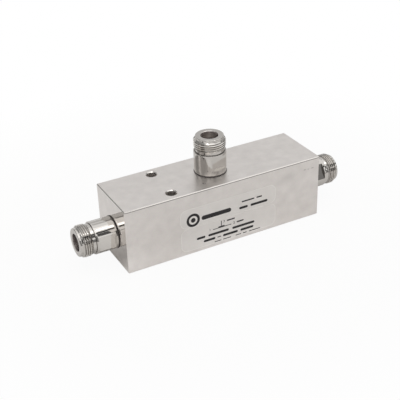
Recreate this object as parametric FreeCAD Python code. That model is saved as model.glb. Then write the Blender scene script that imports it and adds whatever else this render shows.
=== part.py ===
import FreeCAD, Part
import os

# Coaxial tapper: a bored aluminium block with three screwed-in coaxial sockets.
# Millimetres. Origin: centre of the block's bottom face. +X runs from the input socket to the
# through socket, +Y from the labelled front to the back, +Z up to the tap socket.

# Housing block
block_length = 107.5
block_width = 32.5
block_height = 33.5
edge_break = 0.35
main_axis_height = 14.9

# Mounting holes, drilled from top to bottom
mounting_hole_diameter = 5.1
mounting_hole_inset = 26.8
mounting_hole_spacing = 21.6
mounting_hole_chamfer = 0.4

# Connector shell, stacked outwards from the block's face
seal_gap = 0.45
body_length = 10.7
end_collar_length = 0.95
tap_collar_length = 2.55
shoulder_length = 1.1
relief_length = 1.65
thread_length = 5.15
nose_length = 1.1
body_diameter = 16.1
flat_across = 13.7
shoulder_chamfer = 0.3
relief_diameter = 14.8
thread_diameter = 15.875
thread_chamfer = 0.5
lead_chamfer = 0.94
nose_chamfer = 0.2

# Connector shell, the screwed-in end: the collar stands out over the spigot by the seal ring's
# width, and the spigot's end seats on the step where the tapped hole meets the line bore
collar_step = 1.05
seat_step = 0.5
spigot_depth = 8.0
spigot_chamfer = 0.3
spigot_clearance = 0.05
tapped_hole_chamfer = 0.3

# Connector shell, inside
socket_diameter = 8.6
socket_depth = 9.1
socket_chamfer = 0.25
outer_conductor_diameter = 7.0
land_length = 2.0
bead_diameter = 9.0
bead_length = 5.0
bead_slit_width = 0.3

# Centre contact
contact_diameter = 3.04
contact_recess = 4.1
contact_neck_diameter = 2.7
contact_chamfer = 0.2
pin_hole_diameter = 1.65
pin_hole_depth = 6.0
contact_slot_count = 4
contact_slot_width = 0.35
contact_slot_length = 4.5
contact_tail_diameter = 1.6
contact_tail_length = 2.5
tail_hole_clearance = 0.05
tail_hole_extra_depth = 0.3

# Seal ring, squeezed flat between collar and block
seal_ring_proud = 0.15
seal_ring_clearance = 0.05

# Line conductors: quarter-wave sections, each list running inwards from its own end
input_section_diameters = (5.6, 6.4, 7.4)
through_section_diameters = (5.6, 5.0, 6.0)
junction_diameter = 8.4
junction_length = 7.0
junction_seat_depth = 0.5
junction_seat_diameter = 5.0
tap_conductor_diameter = 3.6
tap_stud_diameter = 2.2
tap_stud_length = 3.0
tap_stud_clearance = 0.05
tap_stud_hole_extra_depth = 0.4

# Foil labels on the front face
label_width = 53.4
label_centre_x = 1.1
label_thickness = 0.1
label_corner_radius = 3.5
lower_label_bottom = 2.0
lower_label_height = 12.7
label_gap = 0.2
upper_label_height = 10.4

# Levels along a connector, measured outwards from the block's face
end_flat_start = seal_gap + end_collar_length
tap_flat_start = seal_gap + tap_collar_length
body_end = seal_gap + body_length
flat_end = body_end - shoulder_length
thread_start = body_end + relief_length
thread_end = thread_start + thread_length
nose_end = thread_end + nose_length
socket_floor = nose_end - socket_depth
bead_front = socket_floor - land_length
bead_back = bead_front - bead_length
contact_tip = nose_end - contact_recess

# Sizes that follow from others
nose_diameter = thread_diameter - 2 * lead_chamfer
spigot_diameter = body_diameter - 2 * collar_step
line_bore_diameter = spigot_diameter - 2 * seat_step
tapped_hole_radius = spigot_diameter / 2 + spigot_clearance
mounting_hole_x = mounting_hole_inset - block_length / 2
conductor_end_x = block_length / 2 - spigot_depth
conductor_top_z = block_height - spigot_depth
junction_seat_z = main_axis_height + junction_diameter / 2 - junction_seat_depth
tail_hole_radius = contact_tail_diameter / 2 + tail_hole_clearance
tail_hole_depth = contact_tail_length + tail_hole_extra_depth
upper_label_bottom = lower_label_bottom + lower_label_height + label_gap

X = FreeCAD.Vector(1, 0, 0)
Y = FreeCAD.Vector(0, 1, 0)
Z = FreeCAD.Vector(0, 0, 1)
ORIGIN = FreeCAD.Vector(0, 0, 0)

# Each port: name, middle of its foot on the block, turn from upright, the way one wrench flat faces
# about the port's own axis, in degrees, and the level where its flats start
ports = (
    ("input", FreeCAD.Vector(-block_length / 2, 0, main_axis_height), -90, 265, end_flat_start),
    ("through", FreeCAD.Vector(block_length / 2, 0, main_axis_height), 90, 245, end_flat_start),
    ("tap", FreeCAD.Vector(0, 0, block_height), 0, 281, tap_flat_start),
)


def turned(outline):
    """Solid turned about Z from a closed outline of (radius, height) corners."""
    corners = [FreeCAD.Vector(radius, 0, height) for radius, height in outline]
    face = Part.Face(Part.makePolygon(corners + corners[:1]))
    return face.revolve(ORIGIN, Z, 360)


def at_port(shape, foot, turn):
    """The shape, modelled upright on the origin, moved onto a port."""
    placed = shape.copy()
    placed.rotate(ORIGIN, Y, turn)
    placed.translate(foot)
    return placed


def drilled(shape, radius, depth, mouth, direction):
    """The shape with a round hole that runs from its mouth along a direction."""
    return shape.cut(Part.makeCylinder(radius, depth, mouth, direction))


def hole_chamfer(radius, size, mouth, inwards):
    """Cone that breaks a hole's edge, from the mouth inwards."""
    return Part.makeCone(radius + size, radius, size, mouth, inwards)


def housing():
    corner = FreeCAD.Vector(-block_length / 2, -block_width / 2, 0)
    block = Part.makeBox(block_length, block_width, block_height, corner)
    block = block.makeChamfer(edge_break, block.Edges)
    bore_radius = line_bore_diameter / 2
    block = drilled(block, bore_radius, block_length, ports[0][1], X)
    block = drilled(block, bore_radius, block_height - main_axis_height, ports[2][1], -Z)
    for name, foot, turn, flat_angle, flat_start in ports:
        inwards = FreeCAD.Rotation(Y, turn).multVec(-Z)
        block = drilled(block, tapped_hole_radius, spigot_depth, foot, inwards)
        block = block.cut(hole_chamfer(tapped_hole_radius, tapped_hole_chamfer, foot, inwards))
    hole_radius = mounting_hole_diameter / 2
    for side in (-1, 1):
        low = FreeCAD.Vector(mounting_hole_x, side * mounting_hole_spacing / 2, 0)
        high = low + Z * block_height
        block = drilled(block, hole_radius, block_height, low, Z)
        block = block.cut(hole_chamfer(hole_radius, mounting_hole_chamfer, low, Z))
        block = block.cut(hole_chamfer(hole_radius, mounting_hole_chamfer, high, -Z))
    return block


def wrench_flat_cutters(flat_angle, flat_start):
    """Two blocks outside the flats, one on each side of the shell."""
    reach = body_diameter
    cutters = []
    for half_turn in (0, 180):
        corner = FreeCAD.Vector(flat_across / 2, -reach, flat_start)
        cutter = Part.makeBox(reach, 2 * reach, flat_end - flat_start, corner)
        cutter.rotate(ORIGIN, Z, flat_angle + half_turn)
        cutters.append(cutter)
    return cutters


def shell(flat_angle, flat_start):
    """Connector shell: spigot, collar, wrench flats, relief, thread at its outer size, nose and bores."""
    spigot_radius = spigot_diameter / 2
    body_radius = body_diameter / 2
    relief_radius = relief_diameter / 2
    thread_radius = thread_diameter / 2
    nose_radius = nose_diameter / 2
    socket_radius = socket_diameter / 2
    land_radius = outer_conductor_diameter / 2
    pocket_radius = bead_diameter / 2
    solid = turned((
        (pocket_radius, -spigot_depth),
        (spigot_radius - spigot_chamfer, -spigot_depth),
        (spigot_radius, -spigot_depth + spigot_chamfer),
        (spigot_radius, seal_gap),
        (body_radius, seal_gap),
        (body_radius, body_end - shoulder_chamfer),
        (body_radius - shoulder_chamfer, body_end),
        (relief_radius, body_end),
        (relief_radius, thread_start),
        (thread_radius, thread_start + thread_chamfer),
        (thread_radius, thread_end - lead_chamfer),
        (nose_radius, thread_end),
        (nose_radius, nose_end - nose_chamfer),
        (nose_radius - nose_chamfer, nose_end),
        (socket_radius + socket_chamfer, nose_end),
        (socket_radius, nose_end - socket_chamfer),
        (socket_radius, socket_floor),
        (land_radius, socket_floor),
        (land_radius, bead_front),
        (pocket_radius, bead_front),
    ))
    return solid.cut(wrench_flat_cutters(flat_angle, flat_start))


def bead():
    """Insulating bead, slit along one side."""
    inner = contact_neck_diameter / 2
    outer = bead_diameter / 2
    ring = turned(((inner, bead_back), (outer, bead_back), (outer, bead_front), (inner, bead_front)))
    corner = FreeCAD.Vector(0, -bead_slit_width / 2, bead_back)
    return ring.cut(Part.makeBox(bead_diameter, bead_slit_width, bead_length, corner))


def sleeve():
    """Sleeve behind the bead, level with the spigot's end."""
    inner = outer_conductor_diameter / 2
    outer = bead_diameter / 2
    back = -spigot_depth
    return turned(((inner, back), (outer, back), (outer, bead_back), (inner, bead_back)))


def contact():
    """Socket contact: slotted fingers, a neck for the bead and a tail for the line conductor."""
    radius = contact_diameter / 2
    neck_radius = contact_neck_diameter / 2
    tail_radius = contact_tail_diameter / 2
    pin_radius = pin_hole_diameter / 2
    solid = turned((
        (0, -spigot_depth - contact_tail_length),
        (tail_radius, -spigot_depth - contact_tail_length),
        (tail_radius, -spigot_depth),
        (radius, -spigot_depth),
        (radius, bead_back),
        (neck_radius, bead_back),
        (neck_radius, bead_front),
        (radius, bead_front),
        (radius, contact_tip - contact_chamfer),
        (radius - contact_chamfer, contact_tip),
        (pin_radius + contact_chamfer, contact_tip),
        (pin_radius, contact_tip - contact_chamfer),
        (pin_radius, contact_tip - pin_hole_depth),
        (0, contact_tip - pin_hole_depth),
    ))
    for number in range(contact_slot_count):
        corner = FreeCAD.Vector(0, -contact_slot_width / 2, contact_tip - contact_slot_length)
        slot = Part.makeBox(contact_diameter, contact_slot_width, contact_slot_length, corner)
        slot.rotate(ORIGIN, Z, 360 * number / contact_slot_count)
        solid = solid.cut(slot)
    return solid


def seal_ring():
    """Rubber ring squeezed between collar and block: flat top and bottom, round sides."""
    side = seal_gap / 2
    inner = spigot_diameter / 2 + seal_ring_clearance
    outer = body_diameter / 2 + seal_ring_proud
    low_in = FreeCAD.Vector(inner + side, 0, 0)
    low_out = FreeCAD.Vector(outer - side, 0, 0)
    high_in = low_in + Z * seal_gap
    high_out = low_out + Z * seal_gap
    wire = Part.Wire([
        Part.LineSegment(low_in, low_out).toShape(),
        Part.Arc(low_out, FreeCAD.Vector(outer, 0, side), high_out).toShape(),
        Part.LineSegment(high_out, high_in).toShape(),
        Part.Arc(high_in, FreeCAD.Vector(inner, 0, side), low_in).toShape(),
    ])
    return Part.Face(wire).revolve(ORIGIN, Z, 360)


def half_steps(diameters):
    """Corners (x, radius) of one half of the main conductor, from its end to the junction."""
    run = conductor_end_x - junction_length / 2
    section_length = run / len(diameters)
    corners = []
    for number, diameter in enumerate(diameters):
        outer_x = conductor_end_x - number * section_length
        corners.append((outer_x, diameter / 2))
        corners.append((outer_x - section_length, diameter / 2))
    return corners + [(junction_length / 2, junction_diameter / 2)]


def main_conductor():
    """Stepped rod between the end contacts, with a seat and a cross hole for the tap conductor."""
    input_half = [(-x, radius) for x, radius in half_steps(input_section_diameters)]
    through_half = half_steps(through_section_diameters)[::-1]
    outline = [(-conductor_end_x, 0)] + input_half + through_half + [(conductor_end_x, 0)]
    corners = [FreeCAD.Vector(x, 0, radius) for x, radius in outline]
    rod = Part.Face(Part.makePolygon(corners + corners[:1])).revolve(ORIGIN, X, 360)
    rod.translate(Z * main_axis_height)
    for side in (-1, 1):
        mouth = FreeCAD.Vector(side * conductor_end_x, 0, main_axis_height)
        rod = drilled(rod, tail_hole_radius, tail_hole_depth, mouth, X * -side)
    seat = FreeCAD.Vector(0, 0, junction_seat_z)
    stud_hole_radius = tap_stud_diameter / 2 + tap_stud_clearance
    rod = drilled(rod, junction_seat_diameter / 2, junction_diameter, seat, Z)
    return drilled(rod, stud_hole_radius, tap_stud_length + tap_stud_hole_extra_depth, seat, -Z)


def tap_conductor():
    """Rod from the junction's seat up to the tap contact, with a stud below and a tail hole above."""
    seat = FreeCAD.Vector(0, 0, junction_seat_z)
    top = FreeCAD.Vector(0, 0, conductor_top_z)
    rod = Part.makeCylinder(tap_conductor_diameter / 2, conductor_top_z - junction_seat_z, seat, Z)
    rod = rod.fuse(Part.makeCylinder(tap_stud_diameter / 2, tap_stud_length, seat, -Z))
    return drilled(rod, tail_hole_radius, tail_hole_depth, top, -Z)


def label(bottom, height):
    """Foil label with rounded corners, lying on the front face."""
    front = -block_width / 2
    corner = FreeCAD.Vector(label_centre_x - label_width / 2, front - label_thickness, bottom)
    plate = Part.makeBox(label_width, label_thickness, height, corner)
    through_edges = [edge for edge in plate.Edges if abs(edge.tangentAt(0).y) > 0.5]
    return plate.makeFillet(label_corner_radius, through_edges)


nodes = {
    "housing": housing(),
    "main_conductor": main_conductor(),
    "tap_conductor": tap_conductor(),
    "lower_label": label(lower_label_bottom, lower_label_height),
    "upper_label": label(upper_label_bottom, upper_label_height),
}
for name, foot, turn, flat_angle, flat_start in ports:
    nodes[name + "_shell"] = at_port(shell(flat_angle, flat_start), foot, turn)
    nodes[name + "_bead"] = at_port(bead(), foot, turn)
    nodes[name + "_sleeve"] = at_port(sleeve(), foot, turn)
    nodes[name + "_contact"] = at_port(contact(), foot, turn)
    nodes[name + "_seal_ring"] = at_port(seal_ring(), foot, turn)

os.makedirs("parts", exist_ok=True)
for name, shape in nodes.items():
    shape.exportStep("parts/" + name + ".step")
    print(name, "valid" if shape.isValid() else "NOT VALID", len(shape.Solids), round(shape.Volume, 2))
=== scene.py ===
import math
import bmesh
import bpy
from mathutils import Matrix, Vector


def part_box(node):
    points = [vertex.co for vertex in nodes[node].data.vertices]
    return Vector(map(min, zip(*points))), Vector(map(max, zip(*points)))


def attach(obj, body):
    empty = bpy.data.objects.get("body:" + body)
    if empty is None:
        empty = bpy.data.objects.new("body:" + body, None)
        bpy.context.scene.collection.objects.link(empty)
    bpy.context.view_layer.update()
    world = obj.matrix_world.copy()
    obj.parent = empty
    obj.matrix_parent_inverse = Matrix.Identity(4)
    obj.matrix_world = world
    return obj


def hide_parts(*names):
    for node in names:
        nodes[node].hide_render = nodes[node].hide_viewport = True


# Finish, threads and label print of a coaxial tapper, around its fixed frame.
# Objects are in metres. Sizes here are in millimetres, and the small functions turn them with MM.
# The frame's origin is the centre of the block's bottom face: +X to the through socket, +Z up.
MM = 0.001

# Connector shell, levels measured outwards from the block's face
seal_gap = 0.45
end_flat_start = 1.4
tap_flat_start = 3.0
flat_end = 10.05
flat_across = 13.7
body_end = 11.15
shoulder_round = 0.1
relief_radius = 7.4
nose_radius = 6.9975
nose_chamfer = 0.2
spigot_radius = 7.0
spigot_chamfer = 0.3
socket_radius = 4.3
socket_floor = 9.95
socket_chamfer = 0.25
land_radius = 3.5
land_end = 7.95
pocket_radius = 4.5
corner_round = 0.1

# Coupling thread, 24 turns to the inch, on the same levels. Its painted shade and highlight end where its
# lead chamfer has begun
thread_start = 12.8
thread_end = 17.95
thread_run_out = 1.1
thread_painted_light_end = 17.1
thread_pitch = 25.4 / 24
thread_crest_radius = 7.9375
thread_crest_flat = thread_pitch / 8
thread_flank_angle = 30

# Bands of painted shade and highlight on the shells: how far the root's shade reaches out from the relief's
# radius, where the crest's highlight begins, how far the shade at the relief's foot reaches, and a margin
# beyond the metal
root_shade_reach = 0.22
crest_highlight_start = 0.3
foot_shade_reach = 0.25
tint_margin = 0.05

# Fineness of the meshes, and the narrow gap at each end of the thread, closed when it joins the shell
round_steps = 144
corner_steps = 3
flank_cuts = 2
label_corner_steps = 10
print_ring_steps = 48
bar_end_steps = 4
stem_corner_steps = 3
sharp_angle = 35
seam_gap = 0.02
same_point = 0.0005

# Foil labels and their print. A bar's round end has nearly half its height as radius, and a figure
# stands 0.7 as high as Blender's letter size
foil_thickness = 0.08
ink_thickness = 0.02
label_corner = 3.5
rim_highlight_width = 0.22
bar_end_share = 0.49
figure_share = 0.7

# Print on the front face, as x and z: a coaxial symbol, a small signal diagram with the numbers of the
# ports, and plain bars. Each row of bars has its level, its height and where each bar starts and ends
symbol_middle = (-18.75, 18.7)
symbol_rings = ((3.6, 2.3), (1.25, 0))
bar_rows = (
    (18.4, 2.3, ((-14.2, 2.2),)),
    (20.8, 0.75, ((8.2, 15.4), (16.6, 19.8))),
    (17.5, 1.3, ((6.7, 11.6), (13.2, 23.0))),
    (10.05, 0.35, ((-8.2, 2.2),)),
    (10.4, 0.8, ((-5.2, -1.6),)),
    (12.85, 0.75, ((-0.4, 4.2),)),
    (10.35, 0.75, ((5.2, 9.2),)),
    (7.5, 1.25, ((-17.2, -12.5), (-10.8, 0.7), (2.7, 15.4))),
    (4.95, 1.25, ((-13.4, -7.0), (-2.6, 5.8), (7.3, 14.8))),
    (4.95, 0.5, ((-5.8, -3.8),)),
    (2.75, 0.42, ((-7.4, -3.6), (-2.6, 1.9), (4.6, 7.7), (8.8, 11.0), (12.2, 18.8))),
)
diagram_stem = ((-3.6, 10.6), (-3.2, 13.7))
stem_corner = 0.15
number_height = 1.3
port_numbers = (("1", (-9.8, 10.35)), ("2", (3.7, 10.35)), ("3", (-1.9, 12.85)))

# Middles of the two drilled mounting holes, and a radius just beyond their walls
hole_places = ((-26.95, -10.8, 16.75), (-26.95, 10.8, 16.75))
hole_reach = 2.7

# Sizes of the patterns in the finishes, and a length that is beyond all of the part
cloud_size = 5
grain_size = 0.7
milling_line_spacing = 0.5
turning_ring_spacing = 0.3
beyond = 400

# The white paper, a hair below the part, and how far away the cards stand that bright metal mirrors
floor_size = 6000
floor_gap = 0.05
card_distance = 2000

# Camera, fitted to the block's edges
camera_place = Vector((-180.13, -335.08, 234.76))
camera_aim = Vector((-1.66, 8.88, 12.40))
camera_roll = -1.965
lens_length = 78.68
sensor_width = 36

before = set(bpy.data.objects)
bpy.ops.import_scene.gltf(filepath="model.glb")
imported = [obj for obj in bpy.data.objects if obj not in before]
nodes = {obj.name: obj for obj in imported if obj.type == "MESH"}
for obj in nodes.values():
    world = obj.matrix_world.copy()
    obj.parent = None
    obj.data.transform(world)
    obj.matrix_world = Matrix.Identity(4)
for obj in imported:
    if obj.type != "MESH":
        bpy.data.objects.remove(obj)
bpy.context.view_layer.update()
block_low, block_high = [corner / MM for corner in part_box("housing")]
tap_low, tap_high = [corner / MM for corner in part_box("tap_shell")]
input_low, input_high = [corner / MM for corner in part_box("input_shell")]
body_radius = (tap_high.x - tap_low.x) / 2
nose_end = tap_high.z - block_high.z
spigot_end = tap_low.z - block_high.z
main_axis_height = (input_low.z + input_high.z) / 2
ink_back = block_low.y - foil_thickness

# Each port: name, middle of its foot on the block, turn from upright about Y, the way that one wrench
# flat faces about the port's own axis, in degrees, the level where its flats start, and the tint of
# its bore, the same plating in each: painted darker as shade in the two end sockets, lighter in the top one
ports = (
    ("input", Vector((block_low.x, 0, main_axis_height)), -90, 265, end_flat_start, "#b3aca9"),
    ("through", Vector((block_high.x, 0, main_axis_height)), 90, 245, end_flat_start, "#b3aca9"),
    ("tap", Vector((0, 0, block_high.z)), 0, 281, tap_flat_start, "#e0dad7"),
)


# Colours and shader nodes

def colour(hex_code):
    """Linear colour from an sRGB hex code."""
    channels = [int(hex_code[start:start + 2], 16) / 255 for start in (1, 3, 5)]
    linear = []
    for value in channels:
        linear.append(value / 12.92 if value <= 0.04045 else ((value + 0.055) / 1.055) ** 2.4)
    return (*linear, 1)


def add(tree, kind, inputs=None, **settings):
    """A new shader node. Each input is a number, a colour, a vector or another node's output."""
    made = tree.nodes.new(kind)
    for name, value in settings.items():
        setattr(made, name, value)
    for name, value in (inputs or {}).items():
        if isinstance(value, bpy.types.NodeSocket):
            tree.links.new(value, made.inputs[name])
        else:
            made.inputs[name].default_value = value
    return made


def bare_material(name):
    """A new material and its empty tree."""
    material = bpy.data.materials.new(name)
    material.use_nodes = True
    material.node_tree.nodes.clear()
    return material, material.node_tree


def surface(name, **inputs):
    """A new material with one Principled shader, its tree, and that shader."""
    material, tree = bare_material(name)
    shader = add(tree, "ShaderNodeBsdfPrincipled", inputs)
    add(tree, "ShaderNodeOutputMaterial", {"Surface": shader.outputs["BSDF"]})
    return material, tree, shader


def mixed(tree, factor, first, second):
    """A tint between two, each a colour or another node's output."""
    mix = add(tree, "ShaderNodeMix", {"Factor": factor, "A": first, "B": second}, data_type="RGBA")
    return mix.outputs["Result"]


def spot(tree, place, middle, size):
    """1 in the middle of an ellipsoid on the object, falling to 0 at its edge; both in millimetres."""
    shifted = add(tree, "ShaderNodeVectorMath", {0: place, 1: Vector(middle) * MM}, operation="SUBTRACT")
    scaled = add(tree, "ShaderNodeVectorMath", {
        0: shifted.outputs["Vector"], 1: Vector(size) * MM,
    }, operation="DIVIDE")
    reach = add(tree, "ShaderNodeVectorMath", {0: scaled.outputs["Vector"]}, operation="LENGTH")
    return add(tree, "ShaderNodeMapRange", {
        "Value": reach.outputs["Value"], "From Min": 0.0, "From Max": 1.0, "To Min": 1.0, "To Max": 0.0,
    }).outputs["Result"]


def ring_band(tree, level, radius, levels, radii):
    """1 between two levels and two radii of a port's own axis, both in millimetres, and 0 elsewhere."""
    within = []
    for value, (low, high) in ((level, levels), (radius, radii)):
        inside = add(tree, "ShaderNodeMath", {
            0: value, 1: (low + high) / 2 * MM, 2: (high - low) / 2 * MM,
        }, operation="COMPARE")
        within.append(inside.outputs["Value"])
    return add(tree, "ShaderNodeMath", {0: within[0], 1: within[1]}, operation="MULTIPLY").outputs["Value"]


def clouded(tree, place, dark, light):
    """Pale metal's tint: soft clouds between two colours, and a fine grain."""
    cloud = add(tree, "ShaderNodeTexNoise", {"Vector": place, "Scale": 1 / (cloud_size * MM), "Detail": 5.0})
    grain = add(tree, "ShaderNodeTexNoise", {"Vector": place, "Scale": 1 / (grain_size * MM), "Detail": 2.0})
    return add(tree, "ShaderNodeMix", {
        "Factor": 0.13,
        "A": mixed(tree, cloud.outputs["Fac"], colour(dark), colour(light)),
        "B": grain.outputs["Color"],
    }, data_type="RGBA", blend_type="OVERLAY").outputs["Result"]


def block_marks_and_painted_shade(tree, place, tint):
    """The block's tint with its few small dark marks, and painted shade in a fine line under its front top
    edge.
    """
    front = block_low.y
    top = block_high.z
    # Each mark: its middle, its reach each way and its strength
    for middle, size, strength in (
        ((-9.6, -10.5, top), (0.6, 0.8, 0.5), 0.9),
        ((-9.0, -11.2, top), (0.4, 0.6, 0.5), 0.7),
        ((4.2, -10.3, top), (0.5, 0.5, 0.5), 0.5),
        ((45.0, front, 28.2), (1.0, 0.5, 0.4), 0.5),
        ((47.2, front, 28.0), (0.8, 0.5, 0.35), 0.45),
        ((49.6, front, 28.1), (1.2, 0.5, 0.4), 0.5),
        # A faint, wide darker patch on the front face
        ((34.5, front, 26.5), (7.0, 0.5, 5.0), 0.12),
        # Painted shade: a fine dark line on the front face, just under its top edge's chamfer
        ((0, front, top - 0.55), (beyond, 0.3, 0.34), 0.9),
    ):
        amount = add(tree, "ShaderNodeMath", {
            0: spot(tree, place, middle, size), 1: strength,
        }, operation="MULTIPLY")
        tint = mixed(tree, amount.outputs["Value"], tint, colour("#4b4643"))
    return tint


def milled_aluminium():
    """Machined aluminium: long faces satin with a soft mottle and faint lines along the block's length,
    end faces cut smoother, so that they mirror the sockets, smoother broken edges with a painted highlight,
    and dull drilled walls."""
    material, tree, shader = surface("milled_aluminium", Metallic=1.0)
    place = add(tree, "ShaderNodeTexCoord").outputs["Object"]
    along = add(tree, "ShaderNodeMapping", {"Vector": place, "Scale": (0.02, 1, 1)})
    lines = add(tree, "ShaderNodeTexNoise", {
        "Vector": along.outputs["Vector"], "Scale": 1 / (milling_line_spacing * MM), "Detail": 3.0,
    })
    rough = add(tree, "ShaderNodeMapRange", {
        "Value": lines.outputs["Fac"], "To Min": 0.28, "To Max": 0.38,
    }).outputs["Result"]
    facing = add(tree, "ShaderNodeVectorMath", {
        0: add(tree, "ShaderNodeNewGeometry").outputs["Normal"],
    }, operation="ABSOLUTE")
    sides = add(tree, "ShaderNodeSeparateXYZ", {"Vector": facing.outputs["Vector"]})
    end_face = add(tree, "ShaderNodeMath", {0: sides.outputs["X"], 1: 0.95}, operation="GREATER_THAN")
    reach = (hole_reach, hole_reach, beyond)
    near_hole = add(tree, "ShaderNodeMath", {
        0: spot(tree, place, hole_places[0], reach), 1: spot(tree, place, hole_places[1], reach),
    }, operation="ADD")
    drilled = add(tree, "ShaderNodeMath", {0: near_hole.outputs["Value"], 1: 0.0}, operation="GREATER_THAN")
    broken_edge = add(tree, "ShaderNodeMath", {
        0: sides.outputs["Z"], 1: math.sqrt(0.5), 2: 0.1,
    }, operation="COMPARE")
    for chosen, value in ((end_face, 0.08), (drilled, 0.42), (broken_edge, 0.14)):
        rough = add(tree, "ShaderNodeMix", {
            "Factor": chosen.outputs["Value"], "A": rough, "B": value,
        }).outputs["Result"]
    tree.links.new(rough, shader.inputs["Roughness"])
    tint = block_marks_and_painted_shade(tree, place, clouded(tree, place, "#dfdad6", "#f8f3ef"))
    # Painted highlight: the broken edges' lighter tint. Their smoother cut is real
    tint = mixed(tree, broken_edge.outputs["Value"], tint, colour("#efebe6"))
    tree.links.new(tint, shader.inputs["Base Color"])
    bump = add(tree, "ShaderNodeBump", {
        "Height": lines.outputs["Fac"], "Strength": 0.4, "Distance": 0.01 * MM,
    })
    tree.links.new(bump.outputs["Normal"], shader.inputs["Normal"])
    return material


def turned_plating(name, foot, turn, hex_code, low, high, bands=()):
    """Nickel-like plating over turned brass. Its fine rings run round the port's own axis, further apart
    than the real ones so that they show; they part the roughness and lift the surface a little.
    Bands of another tint, painted shade and highlight, are given by levels, radii and colour."""
    material, tree, shader = surface(name, Metallic=1.0)
    tint = colour(hex_code)
    shader.inputs["Base Color"].default_value = tint
    place = add(tree, "ShaderNodeTexCoord").outputs["Object"]
    own = add(tree, "ShaderNodeMapping", {
        "Vector": place, "Location": foot * MM, "Rotation": (0, math.radians(turn), 0),
    }, vector_type="TEXTURE")
    across = add(tree, "ShaderNodeVectorMath", {
        0: own.outputs["Vector"], 1: (1, 1, 0),
    }, operation="MULTIPLY")
    radius = add(tree, "ShaderNodeVectorMath", {0: across.outputs["Vector"]}, operation="LENGTH")
    level = add(tree, "ShaderNodeSeparateXYZ", {"Vector": own.outputs["Vector"]})
    for levels, radii, band_code in bands:
        band = ring_band(tree, level.outputs["Z"], radius.outputs["Value"], levels, radii)
        tint = mixed(tree, band, tint, colour(band_code))
    if bands:
        tree.links.new(tint, shader.inputs["Base Color"])
    ring = add(tree, "ShaderNodeCombineXYZ", {"X": radius.outputs["Value"], "Y": level.outputs["Z"]})
    rings = add(tree, "ShaderNodeTexNoise", {
        "Vector": ring.outputs["Vector"], "Scale": 1 / (turning_ring_spacing * MM), "Detail": 2.0,
    })
    rough = add(tree, "ShaderNodeMapRange", {"Value": rings.outputs["Fac"], "To Min": low, "To Max": high})
    tree.links.new(rough.outputs["Result"], shader.inputs["Roughness"])
    bump = add(tree, "ShaderNodeBump", {
        "Height": rings.outputs["Fac"], "Strength": 0.06, "Distance": 0.01 * MM,
    })
    tree.links.new(bump.outputs["Normal"], shader.inputs["Normal"])
    return material


def plain_finish(name, hex_code, metallic, roughness, pattern_size, pattern_depth):
    """One colour with a fine grain in the surface, both grain values in millimetres."""
    material, tree, shader = surface(name, Metallic=metallic, Roughness=roughness)
    shader.inputs["Base Color"].default_value = colour(hex_code)
    place = add(tree, "ShaderNodeTexCoord").outputs["Object"]
    grain = add(tree, "ShaderNodeTexNoise", {
        "Vector": place, "Scale": 1 / (pattern_size * MM), "Detail": 2.0,
    })
    bump = add(tree, "ShaderNodeBump", {
        "Height": grain.outputs["Fac"], "Strength": 0.5, "Distance": pattern_depth * MM,
    })
    tree.links.new(bump.outputs["Normal"], shader.inputs["Normal"])
    return material


def satin_foil():
    """Metal foil under a matt film: the block's tone, a little duller and more even."""
    material, tree, shader = surface("satin_foil", Metallic=1.0, Roughness=0.33)
    place = add(tree, "ShaderNodeTexCoord").outputs["Object"]
    tint = clouded(tree, place, "#e7e3df", "#f6f2ee")
    tree.links.new(tint, shader.inputs["Base Color"])
    return material


# Objects and meshes, in millimetres until a piece is finished

def new_object(name, data):
    """A new object in the scene."""
    made = bpy.data.objects.new(name, data)
    bpy.context.scene.collection.objects.link(made)
    return made


def mesh_from(shape, name):
    """A mesh of what the bmesh holds. The bmesh is freed."""
    mesh = bpy.data.meshes.new(name)
    shape.to_mesh(mesh)
    shape.free()
    return mesh


def finish_piece(shape, name, materials, placing=Matrix.Identity(4)):
    """Turns a bmesh in millimetres into a piece in metres that rides on the tapper."""
    bmesh.ops.transform(shape, matrix=Matrix.Scale(MM, 4) @ placing, verts=shape.verts)
    mesh = mesh_from(shape, name)
    mesh.shade_smooth()
    mesh.set_sharp_from_angle(angle=math.radians(sharp_angle))
    for material in materials:
        mesh.materials.append(material)
    piece = new_object(name, mesh)
    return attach(piece, "root")


def cover(names, material):
    """Gives the frame's own nodes a material. Their mesh stays as it is."""
    for name in names:
        nodes[name].data.materials.clear()
        nodes[name].data.materials.append(material)


def polyline(shape, corners):
    """Wire through (radius, level) corners in the XZ plane, and its vertices."""
    verts = [shape.verts.new((radius, 0, level)) for radius, level in corners]
    for pair in zip(verts, verts[1:]):
        shape.edges.new(pair)
    return verts


def round_corners(shape, corners):
    """Rounds corners of a wire, each given as (vertex, radius)."""
    for size in sorted({size for vert, size in corners}):
        bmesh.ops.bevel(
            shape, geom=[vert for vert, own in corners if own == size], offset=size, offset_type="OFFSET",
            segments=corner_steps, profile=0.5, affect="VERTICES", material=-1,
        )


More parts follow.
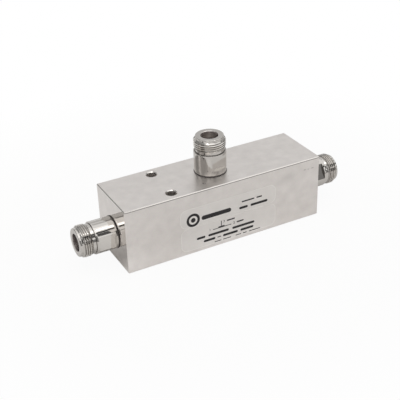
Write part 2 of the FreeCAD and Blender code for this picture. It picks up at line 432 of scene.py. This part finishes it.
def turned_shell():
    """The shell without its thread, open where the thread goes. Each corner: radius, level, rounding."""
    shape = bmesh.new()
    outline = (
        (relief_radius, thread_start - seam_gap, 0),
        (relief_radius, body_end, 0),
        (body_radius, body_end, shoulder_round),
        (body_radius, seal_gap, corner_round),
        (spigot_radius, seal_gap, 0),
        (spigot_radius, spigot_end + spigot_chamfer, 0),
        (spigot_radius - spigot_chamfer, spigot_end, 0),
        (pocket_radius, spigot_end, 0),
        (pocket_radius, land_end, 0),
        (land_radius, land_end, 0),
        (land_radius, socket_floor, 0),
        (socket_radius, socket_floor, 0),
        (socket_radius, nose_end - socket_chamfer, corner_round),
        (socket_radius + socket_chamfer, nose_end, corner_round),
        (nose_radius - nose_chamfer, nose_end, corner_round),
        (nose_radius, nose_end - nose_chamfer, corner_round),
        (nose_radius, thread_end + seam_gap, 0),
    )
    verts = polyline(shape, [corner[:2] for corner in outline])
    round_corners(shape, [(vert, corner[2]) for vert, corner in zip(verts, outline) if corner[2]])
    bmesh.ops.spin(
        shape, geom=shape.verts[:] + shape.edges[:], cent=(0, 0, 0), axis=(0, 0, 1), angle=math.tau,
        steps=round_steps, use_merge=True,
    )
    return shape


def thread_strip():
    """60 degree thread: one turn of its profile, stacked by the pitch, run out into the relief at its
    start and cut by the lead chamfer at its end."""
    shape = bmesh.new()
    depth = thread_crest_radius - relief_radius
    flank = depth * math.tan(math.radians(thread_flank_angle))
    root_flat = thread_pitch - thread_crest_flat - 2 * flank
    low = thread_start - thread_pitch
    polyline(shape, (
        (relief_radius, low),
        (relief_radius, low + root_flat),
        (thread_crest_radius, low + root_flat + flank),
        (thread_crest_radius, low + root_flat + flank + thread_crest_flat),
        (relief_radius, low + thread_pitch),
    ))
    rising, falling = shape.edges[:][1::2]
    bmesh.ops.subdivide_edges(shape, edges=[rising, falling], cuts=flank_cuts)
    bmesh.ops.spin(
        shape, geom=shape.verts[:] + shape.edges[:], cent=(0, 0, 0), axis=(0, 0, 1), angle=math.tau,
        dvec=(0, 0, thread_pitch / round_steps), steps=round_steps, use_merge=False,
    )
    one_turn = shape.verts[:] + shape.edges[:] + shape.faces[:]
    for turn in range(1, math.ceil((thread_end - thread_start) / thread_pitch) + 2):
        copied = bmesh.ops.duplicate(shape, geom=one_turn)["geom"]
        lifted = [item for item in copied if isinstance(item, bmesh.types.BMVert)]
        bmesh.ops.translate(shape, vec=(0, 0, thread_pitch * turn), verts=lifted)
    bmesh.ops.remove_doubles(shape, verts=shape.verts, dist=same_point)
    rise = depth / thread_run_out
    for vert in shape.verts:
        radius = math.hypot(vert.co.x, vert.co.y)
        at_start = relief_radius + max(vert.co.z - thread_start, 0) * rise
        at_end = nose_radius + max(thread_end - vert.co.z, 0)
        limit = min(at_start, at_end)
        if radius > limit:
            vert.co.xy *= limit / radius
    for level, way in ((thread_start, -1), (thread_end, 1)):
        bmesh.ops.bisect_plane(
            shape, geom=shape.verts[:] + shape.edges[:] + shape.faces[:], dist=same_point,
            plane_co=(0, 0, level), plane_no=(0, 0, way), clear_outer=True,
        )
    return shape


def body_faces(shape):
    """Faces on the shell's full outer radius."""
    return [
        face for face in shape.faces
        if all(vert.co.xy.length > body_radius - same_point for vert in face.verts)
    ]


def cut_faces(shape, faces, place, way):
    """Splits the faces along a plane."""
    edges = {edge for face in faces for edge in face.edges}
    verts = {vert for face in faces for vert in face.verts}
    bmesh.ops.bisect_plane(
        shape, geom=list(verts) + list(edges) + faces, dist=same_point, plane_co=place, plane_no=way,
    )


def cut_wrench_flats(shape, flat_angle, flat_start):
    """Two wrench flats, sunk into the round body between their two levels."""
    for level in (flat_start, flat_end):
        cut_faces(shape, body_faces(shape), (0, 0, level), (0, 0, 1))
    for half_turn in (0, 180):
        angle = math.radians(flat_angle + half_turn)
        way = Vector((math.cos(angle), math.sin(angle), 0))
        reach = flat_across / 2
        cut_faces(shape, body_faces(shape), way * reach, way)
        sunk = []
        for face in body_faces(shape):
            middle = face.calc_center_median()
            if flat_start < middle.z < flat_end and middle.dot(way) > reach:
                sunk.append(face)
        edges = list({edge for face in sunk for edge in face.edges})
        pushed = bmesh.ops.extrude_face_region(shape, geom=sunk + edges)["geom"]
        for vert in pushed:
            if isinstance(vert, bmesh.types.BMVert):
                vert.co += way * (reach - vert.co.dot(way))
    bmesh.ops.remove_doubles(shape, verts=shape.verts, dist=same_point)


def join_thread(shape, thread):
    """Brings the thread into the open shell and closes the narrow gap at each of its ends."""
    shape.from_mesh(thread)
    middle = (thread_start + thread_end) / 2
    open_edges = [edge for edge in shape.edges if edge.is_boundary]
    lower = [edge for edge in open_edges if edge.verts[0].co.z < middle]
    upper = [edge for edge in open_edges if edge.verts[0].co.z > middle]
    for loops in (lower, upper):
        bmesh.ops.bridge_loops(shape, edges=loops)
    bmesh.ops.remove_doubles(shape, verts=shape.verts, dist=same_point)
    bmesh.ops.recalc_face_normals(shape, faces=shape.faces)


def threaded_shell(name, foot, turn, flat_angle, flat_start, bore_painted_tone, thread):
    """A whole connector shell in one skin, in place of its plain solid. Its bore has its own finish, in a
    tone painted for how much light reaches it.
    """
    shape = turned_shell()
    cut_wrench_flats(shape, flat_angle, flat_start)
    join_thread(shape, thread)
    for face in shape.faces:
        if face.calc_center_median().xy.length < socket_radius + socket_chamfer / 2:
            face.material_index = 1
    # Painted light: the thread's crests are painted lighter as a highlight, and its roots and the relief's
    # foot darker as shade
    thread_levels = (thread_start, thread_painted_light_end)
    root_radii = (relief_radius - tint_margin, relief_radius + root_shade_reach)
    crest_radii = (relief_radius + crest_highlight_start, thread_crest_radius + tint_margin)
    foot_levels = (body_end - tint_margin, body_end + foot_shade_reach)
    foot_radii = (relief_radius - tint_margin, relief_radius + foot_shade_reach)
    bands = (
        (thread_levels, root_radii, "#a39f9a"),
        (thread_levels, crest_radii, "#e9e5e0"),
        (foot_levels, foot_radii, "#7f7b77"),
    )
    outside = turned_plating(name + "_turned_plating", foot, turn, "#d3cfca", 0.04, 0.09, bands)
    inside = turned_plating(name + "_bored_plating", foot, turn, bore_painted_tone, 0.3, 0.4)
    placing = Matrix.Translation(foot) @ Matrix.Rotation(math.radians(turn), 4, "Y")
    piece = finish_piece(shape, name + "_threaded_shell", [outside, inside], placing)
    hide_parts(name + "_shell")
    cover([name + "_sleeve"], inside)


def rounded_plate(shape, low, high, back, thickness, corner, segments):
    """Flat piece on the front face between two (x, z) corners, with rounded corners."""
    size = (high[0] - low[0], thickness, high[1] - low[1])
    middle = ((low[0] + high[0]) / 2, back - thickness / 2, (low[1] + high[1]) / 2)
    made = bmesh.ops.create_cube(shape, size=1, matrix=Matrix.LocRotScale(middle, None, size))
    edges = {edge for vert in made["verts"] for edge in vert.link_edges}
    across = [edge for edge in edges if abs(edge.verts[0].co.y - edge.verts[1].co.y) > thickness / 2]
    bmesh.ops.bevel(
        shape, geom=across, offset=corner, offset_type="OFFSET", segments=segments, profile=0.5,
        affect="EDGES", material=-1,
    )


def foil_label(name, foil_finish, rim_highlight_finish):
    """A foil label with a painted highlight round the rim of its face, in place of its plain solid."""
    low, high = [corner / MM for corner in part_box(name)]
    shape = bmesh.new()
    rounded_plate(
        shape, (low.x, low.z), (high.x, high.z), block_low.y, foil_thickness, label_corner,
        label_corner_steps,
    )
    shape.normal_update()
    front = [face for face in shape.faces if face.normal.y < -0.9]
    rim = bmesh.ops.inset_region(shape, faces=front, thickness=rim_highlight_width, use_even_offset=True)
    for face in rim["faces"]:
        face.material_index = 1
    piece = finish_piece(shape, name + "_foil", [foil_finish, rim_highlight_finish])
    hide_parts(name)


def printed_bars(shape, level, height, spans):
    """A row of bars with round ends, each from one x to another."""
    for start, end in spans:
        low = (start, level - height / 2)
        high = (end, level + height / 2)
        rounded_plate(shape, low, high, ink_back, ink_thickness, height * bar_end_share, bar_end_steps)


def printed_ring(shape, centre, outer, inner):
    """A flat ring, or a disc where its inner radius is 0, on the label."""
    front = ink_back - ink_thickness
    corners = ((inner, ink_back), (inner, front), (outer, front), (outer, ink_back))
    verts = [shape.verts.new((centre[0] + radius, depth, centre[1])) for radius, depth in corners]
    face = shape.faces.new(verts)
    bmesh.ops.spin(
        shape, geom=[face], cent=(centre[0], 0, centre[1]), axis=(0, 1, 0), angle=math.tau,
        steps=print_ring_steps, use_merge=True,
    )


def printed_number(shape, text, centre, height):
    """A plain number on the label, from Blender's own letters."""
    curve = bpy.data.curves.new("number", "FONT")
    curve.body = text
    curve.size = height / figure_share
    curve.align_x = "CENTER"
    curve.align_y = "CENTER"
    curve.extrude = ink_thickness / 2
    held = new_object("number", curve)
    mesh = bpy.data.meshes.new_from_object(held.evaluated_get(bpy.context.evaluated_depsgraph_get()))
    bpy.data.objects.remove(held)
    middle = (centre[0], ink_back - ink_thickness / 2, centre[1])
    mesh.transform(Matrix.Translation(middle) @ Matrix.Rotation(math.radians(90), 4, "X"))
    shape.from_mesh(mesh)
    bpy.data.meshes.remove(mesh)


def label_print(finish):
    """All the print on both labels, in one piece."""
    shape = bmesh.new()
    for outer, inner in symbol_rings:
        printed_ring(shape, symbol_middle, outer, inner)
    for level, height, spans in bar_rows:
        printed_bars(shape, level, height, spans)
    rounded_plate(shape, *diagram_stem, ink_back, ink_thickness, stem_corner, stem_corner_steps)
    for text, centre in port_numbers:
        printed_number(shape, text, centre, number_height)
    finish_piece(shape, "label_print", [finish])


aluminium = milled_aluminium()
# Nitrile rubber, moulded: matt, nearly black
rubber = plain_finish("moulded_rubber", "#4a4442", 0.0, 0.5, 0.12, 0.01)
# Machined fluoroplastic: white and waxy
bead_plastic = plain_finish("turned_fluoroplastic", "#eeede9", 0.0, 0.4, 0.2, 0.005)
# Silver plating over a slotted copper alloy contact: bright and smooth
silver = plain_finish("silver_plating", "#d6d3cd", 1.0, 0.25, 0.2, 0.003)
# Drawn brass rod, turned to its steps: yellow and bright
brass = plain_finish("turned_brass", "#cdaa63", 1.0, 0.25, 0.25, 0.004)
foil = satin_foil()
# Painted highlight: a paler line round each label's face, where its edge catches light
rim_highlight_paint = plain_finish("painted_rim_highlight", "#fdfaf6", 1.0, 0.28, 0.2, 0.003)
# Screen printing ink: warm black, matt
ink = plain_finish("printing_ink", "#242122", 0.0, 0.6, 0.2, 0.002)

cover(["housing"], aluminium)
cover(["main_conductor", "tap_conductor"], brass)
thread_mesh = mesh_from(thread_strip(), "thread")
for name, foot, turn, flat_angle, flat_start, bore_painted_tone in ports:
    threaded_shell(name, foot, turn, flat_angle, flat_start, bore_painted_tone, thread_mesh)
    cover([name + "_bead"], bead_plastic)
    cover([name + "_contact"], silver)
    cover([name + "_seal_ring"], rubber)
bpy.data.meshes.remove(thread_mesh)
foil_label("upper_label", foil, rim_highlight_paint)
foil_label("lower_label", foil, rim_highlight_paint)
label_print(ink)


# Stage: places in metres, and directions by azimuth and elevation in degrees

def direction(azimuth, elevation):
    """Unit vector; azimuth 0 is towards -Y and 90 towards +X."""
    across = math.radians(azimuth)
    up = math.radians(elevation)
    return Vector((math.sin(across) * math.cos(up), -math.cos(across) * math.cos(up), math.sin(up)))


def aim(placed, way):
    """Turns an object's own Z along a direction."""
    placed.rotation_mode = "QUATERNION"
    placed.rotation_quaternion = way.to_track_quat("Z", "Y")


def stage_plane(name, width, height, place, material):
    """A flat card of the stage, lying level at its place."""
    shape = bmesh.new()
    bmesh.ops.create_grid(shape, x_segments=1, y_segments=1, size=0.5)
    bmesh.ops.scale(shape, vec=(width, height, 1), verts=shape.verts)
    mesh = mesh_from(shape, name)
    mesh.materials.append(material)
    plane = new_object(name, mesh)
    plane.location = place
    return plane


def floor_paper():
    """White paper, brightest around the part. In mirrors it is painted greyer far off, and a painted glow
    lifts some of the shadow at three places in front of the part. The camera sees it white, with the shadow."""
    material, tree = bare_material("white_paper")
    place = add(tree, "ShaderNodeTexCoord").outputs["Object"]
    reach = add(tree, "ShaderNodeVectorMath", {0: place}, operation="LENGTH").outputs["Value"]
    far = add(tree, "ShaderNodeMapRange", {
        "Value": reach, "From Min": 0.15, "From Max": 0.45,
    }, interpolation_type="SMOOTHSTEP")
    tint = mixed(tree, far.outputs["Result"], colour("#f4f3f2"), colour("#6f6c6b"))
    paper = add(tree, "ShaderNodeBsdfDiffuse", {"Color": tint})
    glow = add(tree, "ShaderNodeEmission", {"Color": (1, 1, 1, 1), "Strength": 1.0})
    path = add(tree, "ShaderNodeLightPath")
    near_share = add(tree, "ShaderNodeMapRange", {
        "Value": reach, "From Min": 0.1, "From Max": 0.2, "To Min": 0.93, "To Max": 1.0,
    })
    share = add(tree, "ShaderNodeMath", {
        0: path.outputs["Is Camera Ray"], 1: near_share.outputs["Result"],
    }, operation="MULTIPLY").outputs["Value"]
    mirrored = add(tree, "ShaderNodeMath", {
        0: path.outputs["Is Glossy Ray"], 1: path.outputs["Is Transmission Ray"],
    }, operation="MAXIMUM")
    # Painted light in mirrors, at places that the front face's foot, the left connector and the top
    # connector's body mirror. Each: its middle, its reach each way and its strength
    for middle, size, strength in (
        ((0, -18, 0), (75, 16, beyond), 0.4),
        ((-54, -26, 0), (22, 16, beyond), 0.45),
        ((-52, -72, 0), (30, 24, beyond), 0.4),
    ):
        lift = add(tree, "ShaderNodeMath", {
            0: spot(tree, place, middle, size), 1: strength,
        }, operation="MULTIPLY")
        share = add(tree, "ShaderNodeMath", {
            0: mirrored.outputs["Value"], 1: lift.outputs["Value"], 2: share,
        }, operation="MULTIPLY_ADD").outputs["Value"]
    mix = add(tree, "ShaderNodeMixShader", {0: share, 1: paper.outputs["BSDF"], 2: glow.outputs["Emission"]})
    add(tree, "ShaderNodeOutputMaterial", {"Surface": mix.outputs["Shader"]})
    return material


def white_world():
    """A world that is white to the camera and in mirrors, and weaker where it lights matt surfaces."""
    world = bpy.data.worlds.new("studio")
    bpy.context.scene.world = world
    world.use_nodes = True
    tree = world.node_tree
    tree.nodes.clear()
    path = add(tree, "ShaderNodeLightPath")
    seen = path.outputs["Is Camera Ray"]
    for kind in ("Is Glossy Ray", "Is Transmission Ray"):
        seen = add(tree, "ShaderNodeMath", {
            0: seen, 1: path.outputs[kind],
        }, operation="MAXIMUM").outputs["Value"]
    level = add(tree, "ShaderNodeMapRange", {"Value": seen, "To Min": 0.69, "To Max": 1.0})
    sky = add(tree, "ShaderNodeBackground", {"Color": (1, 1, 1, 1), "Strength": level.outputs["Result"]})
    add(tree, "ShaderNodeOutputWorld", {"Surface": sky.outputs["Background"]})


def lamp(name, azimuth, elevation, distance, size, power):
    """A square soft lamp that shines on the frame's origin."""
    light = bpy.data.lights.new(name, "AREA")
    light.shape = "SQUARE"
    light.size = size
    light.energy = power
    placed = new_object(name, light)
    placed.location = direction(azimuth, elevation) * distance
    aim(placed, direction(azimuth, elevation))


def card_grey(name, level, width, height):
    """Grey card, softened towards its edges, that bright metal mirrors."""
    material, tree = bare_material(name)
    place = add(tree, "ShaderNodeTexCoord").outputs["Object"]
    scaled = add(tree, "ShaderNodeVectorMath", {
        0: place, 1: (2 / width, 2 / height, 0),
    }, operation="MULTIPLY")
    outward = add(tree, "ShaderNodeVectorMath", {0: scaled.outputs["Vector"]}, operation="ABSOLUTE")
    parts = add(tree, "ShaderNodeSeparateXYZ", {"Vector": outward.outputs["Vector"]})
    rim = add(tree, "ShaderNodeMath", {0: parts.outputs["X"], 1: parts.outputs["Y"]}, operation="MAXIMUM")
    fade = add(tree, "ShaderNodeMapRange", {
        "Value": rim.outputs["Value"], "From Min": 0.85, "From Max": 1.0,
    }, interpolation_type="SMOOTHSTEP")
    grey = add(tree, "ShaderNodeEmission", {"Color": (level, level, level, 1), "Strength": 1.0})
    clear = add(tree, "ShaderNodeBsdfTransparent")
    mix = add(tree, "ShaderNodeMixShader", {
        0: fade.outputs["Result"], 1: grey.outputs["Emission"], 2: clear.outputs["BSDF"],
    })
    add(tree, "ShaderNodeOutputMaterial", {"Surface": mix.outputs["Shader"]})
    return material


def mirror_card(name, azimuth, elevation, across, tall, level):
    """A card that only reflections show: where it stands, how many degrees it spans, and its grey."""
    distance = card_distance * MM
    width = 2 * distance * math.tan(math.radians(across / 2))
    height = 2 * distance * math.tan(math.radians(tall / 2))
    way = direction(azimuth, elevation)
    card = stage_plane(name, width, height, way * distance, card_grey(name, level, width, height))
    aim(card, -way)
    card.visible_camera = False
    card.visible_diffuse = False
    card.visible_transmission = False
    card.visible_shadow = False


def photo_camera():
    """The camera, and plain colours in its picture."""
    camera = bpy.data.cameras.new("camera")
    camera.lens = lens_length
    camera.sensor_width = sensor_width
    camera.clip_start = 0.01
    placed = new_object("camera", camera)
    placed.location = camera_place * MM
    placed.rotation_mode = "QUATERNION"
    looking = (camera_aim - camera_place).to_track_quat("-Z", "Y")
    rolled = Matrix.Rotation(math.radians(camera_roll), 3, "Z").to_quaternion()
    placed.rotation_quaternion = looking @ rolled
    bpy.context.scene.camera = placed
    bpy.context.scene.view_settings.view_transform = "Standard"


stage_plane("floor", floor_size * MM, floor_size * MM, (0, 0, -floor_gap * MM), floor_paper())
white_world()

# Each lamp: name, azimuth, elevation, distance and size in metres, power in watts
lamps = (
    ("overhead_softbox", -10, 76, 1.0, 0.64, 0.5),
    ("key_softbox", 48, 66, 0.95, 0.2, 0.38),
    ("left_softbox", -48, 63, 0.95, 0.2, 0.15),
)
for name, azimuth, elevation, distance, size, power in lamps:
    lamp(name, azimuth, elevation, distance, size, power)

# Each card: name, azimuth, elevation, degrees across, degrees tall, grey
cards = (
    ("left_low", -84, 1, 74, 32, 0.08),
    ("left_side", -86, 38, 30, 44, 0.36),
    ("front_left", -57, 27, 28, 22, 0.22),
    ("front_left_top", -31, 52, 11, 12, 0.12),
    ("camera_side", -30, 12, 16, 40, 0.12),
    ("front", -2, 15, 27, 46, 0.18),
    ("front_right", 28, 36, 22, 20, 0.1),
    ("front_right_top", 18, 51.5, 12, 11, 0.04),
    ("front_right_low", 25, 4, 26, 29, 0.22),
    ("right_side_top", 53, 37, 17, 10, 0.1),
    ("right_side_low", 50, 13, 18, 17, 0.2),
    ("right_side", 72, 20, 28, 42, 0.35),
    ("right_end", 104, 20, 32, 44, 0.4),
    ("right_back", 134, 22, 26, 40, 0.66),
    ("right_back_top", 148, 53, 26, 16, 0.65),
    ("back", 162, 26, 32, 30, 0.62),
    ("back_left", -165, 25, 26, 54, 0.6),
    ("left_back", -136, 26, 44, 64, 0.28),
)
for name, azimuth, elevation, across, tall, grey in cards:
    mirror_card(name + "_card", azimuth, elevation, across, tall, grey)

photo_camera()
